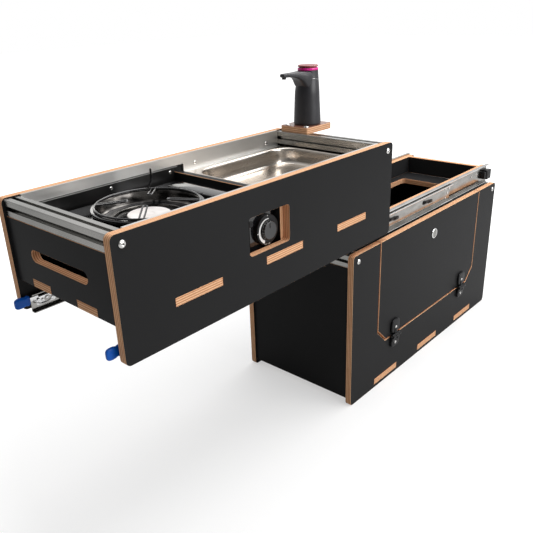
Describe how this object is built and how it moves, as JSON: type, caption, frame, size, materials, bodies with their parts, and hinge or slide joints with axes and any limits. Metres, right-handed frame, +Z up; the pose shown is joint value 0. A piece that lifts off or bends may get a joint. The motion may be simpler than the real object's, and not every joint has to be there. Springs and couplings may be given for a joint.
{
  "type": "campervan kitchen pod",
  "caption": "Slide-out camping kitchen: a lower cabinet with a drop-down flap carries a drawn-out unit with a gas stove, a tilting sink pan and a push-button tap.",
  "frame": {"origin": "middle of the whole object's footprint at floor level, with the upper unit drawn out", "axes": "+X along the length from the drawn-out unit towards the cabinet's closed end, +Y from the flap side to the back, +Z up"},
  "size_m": [1.382, 0.3431, 0.773],
  "materials": {
    "film_faced_ply": "black phenolic film on birch plywood, satin, bare tan edges",
    "bare_ply": "bare birch plywood",
    "brown_film_ply": "glossy dark brown film on plywood, tan edges",
    "rail_aluminium": "natural anodised aluminium, satin",
    "slide_steel": "zinc-plated steel",
    "bolt_steel": "bright zinc-plated steel",
    "black_nylon": "black nylon, satin",
    "black_enamel": "glossy black enamel",
    "pale_burner_metal": "pale cast aluminium",
    "stainless_pan": "satin stainless steel",
    "chrome_trim": "bright chrome",
    "blue_grip": "blue plastic",
    "dark_tap_shell": "black plastic, half gloss",
    "magenta_ring": "magenta plastic",
    "brown_cap": "tan-brown plastic, half gloss"
  },
  "bodies": {
    "cabinet": {"cabinet_front_panel": "film_faced_ply", "cabinet_back_panel": "film_faced_ply", "cabinet_left_end": "film_faced_ply", "cabinet_right_end": "film_faced_ply", "cabinet_floor": "film_faced_ply", "cabinet_left_rail": "rail_aluminium", "cabinet_right_rail": "rail_aluminium", "cabinet_top_panel": "film_faced_ply", "runner_board_front": "bare_ply", "runner_board_back": "bare_ply", "tray_end_boards": "bare_ply", "cabinet_bolts": "bolt_steel", "cabinet_screws": "bolt_steel", "slide_channel_front": "slide_steel", "slide_channel_back": "slide_steel", "slide_bumpers": "black_nylon", "hinge_lower_leaves": "black_nylon", "hinge_pins": "bolt_steel", "lock_keeper": "bolt_steel"},
    "flap": {"flap": "film_faced_ply", "hinge_upper_leaves": "black_nylon", "flap_screws": "bolt_steel", "lock_housing": "bolt_steel"},
    "lock": {"lock_barrel": "bolt_steel", "lock_cam": "bolt_steel"},
    "slide_middles": {"slide_middle_members": "slide_steel", "slide_ball_cages": "slide_steel", "slide_latches": "black_nylon"},
    "unit": {"unit_front_panel": "film_faced_ply", "unit_back_panel": "film_faced_ply", "unit_left_end": "film_faced_ply", "unit_right_end": "film_faced_ply", "unit_floor": "film_faced_ply", "unit_partition": "film_faced_ply", "unit_left_rail": "rail_aluminium", "unit_right_rail": "rail_aluminium", "edge_bands": "rail_aluminium", "sink_ledges": "rail_aluminium", "heat_shield": "black_enamel", "unit_bolts": "bolt_steel", "unit_screws": "bolt_steel", "slide_inner_front": "slide_steel", "slide_inner_back": "slide_steel", "stove_body": "black_enamel", "knob_ring": "black_enamel", "drip_bowl": "black_enamel", "burner_head": "pale_burner_metal", "tap_plate": "brown_film_ply", "tap_body": "dark_tap_shell", "tap_ring": "magenta_ring"},
    "front_lever": {"slide_lever_arm_front": "chrome_trim", "slide_lever_grip_front": "blue_grip"},
    "back_lever": {"slide_lever_arm_back": "chrome_trim", "slide_lever_grip_back": "blue_grip"},
    "knob": {"stove_knob": "black_nylon"},
    "gas_lever": {"gas_lever": "black_nylon"},
    "cartridge_lid": {"cartridge_lid": "black_enamel"},
    "pan_support": {"pan_support": "black_enamel"},
    "sink_pan": {"sink_pan": "stainless_pan"},
    "tap_button": {"tap_button": "brown_cap"}
  },
  "joints": [
    {"name": "unit_slide", "type": "slide", "parent": "cabinet", "child": "unit", "axis": [1, 0, 0], "range_m": [0, 0.606]},
    {"name": "middle_slide", "type": "slide", "parent": "cabinet", "child": "slide_middles", "axis": [1, 0, 0], "range_m": [0, 0.2101]},
    {"name": "flap_hinge", "type": "hinge", "parent": "cabinet", "child": "flap", "pos_m": [0.308, -0.16555, 0.119], "axis": [1, 0, 0], "range_deg": [0, 95]},
    {"name": "lock_turn", "type": "hinge", "parent": "flap", "child": "lock", "pos_m": [0.308, -0.15855, 0.339], "axis": [0, -1, 0], "range_deg": [0, 90]},
    {"name": "front_lever_lift", "type": "hinge", "parent": "unit", "child": "front_lever", "pos_m": [-0.627, -0.13495, 0.42], "axis": [0, 1, 0], "range_deg": [0, 6], "stiffness_Nm_per_rad": 0.5, "springref_deg": -5.73},
    {"name": "back_lever_lift", "type": "hinge", "parent": "unit", "child": "back_lever", "pos_m": [-0.627, 0.14465, 0.42], "axis": [0, 1, 0], "range_deg": [0, 6], "stiffness_Nm_per_rad": 0.5, "springref_deg": -5.73},
    {"name": "stove_knob_turn", "type": "hinge", "parent": "unit", "child": "knob", "pos_m": [-0.326, -0.14355, 0.528], "axis": [0, -1, 0], "range_deg": [0, 150]},
    {"name": "gas_lever_slide", "type": "slide", "parent": "unit", "child": "gas_lever", "axis": [0, 0, -1], "range_m": [0, 0.038]},
    {"name": "cartridge_lid_hinge", "type": "hinge", "parent": "unit", "child": "cartridge_lid", "pos_m": [-0.3485, -0.01155, 0.5756], "axis": [0, -1, 0], "range_deg": [0, 95]},
    {"name": "pan_support_lift", "type": "slide", "parent": "unit", "child": "pan_support", "axis": [0, 0, 1], "range_m": [0, 0.06]},
    {"name": "sink_tilt", "type": "hinge", "parent": "unit", "child": "sink_pan", "pos_m": [0.051, 0.00485, 0.584], "axis": [0, 1, 0], "range_deg": [0, 20]},
    {"name": "tap_button_press", "type": "slide", "parent": "unit", "child": "tap_button", "axis": [0, 0, -1], "range_m": [0, 0.002], "stiffness_N_per_m": 600, "springref_m": -0.002}
  ],
  "couplings": [
    {"joint": "middle_slide", "follows": "unit_slide", "ratio": 0.34653}
  ]
}
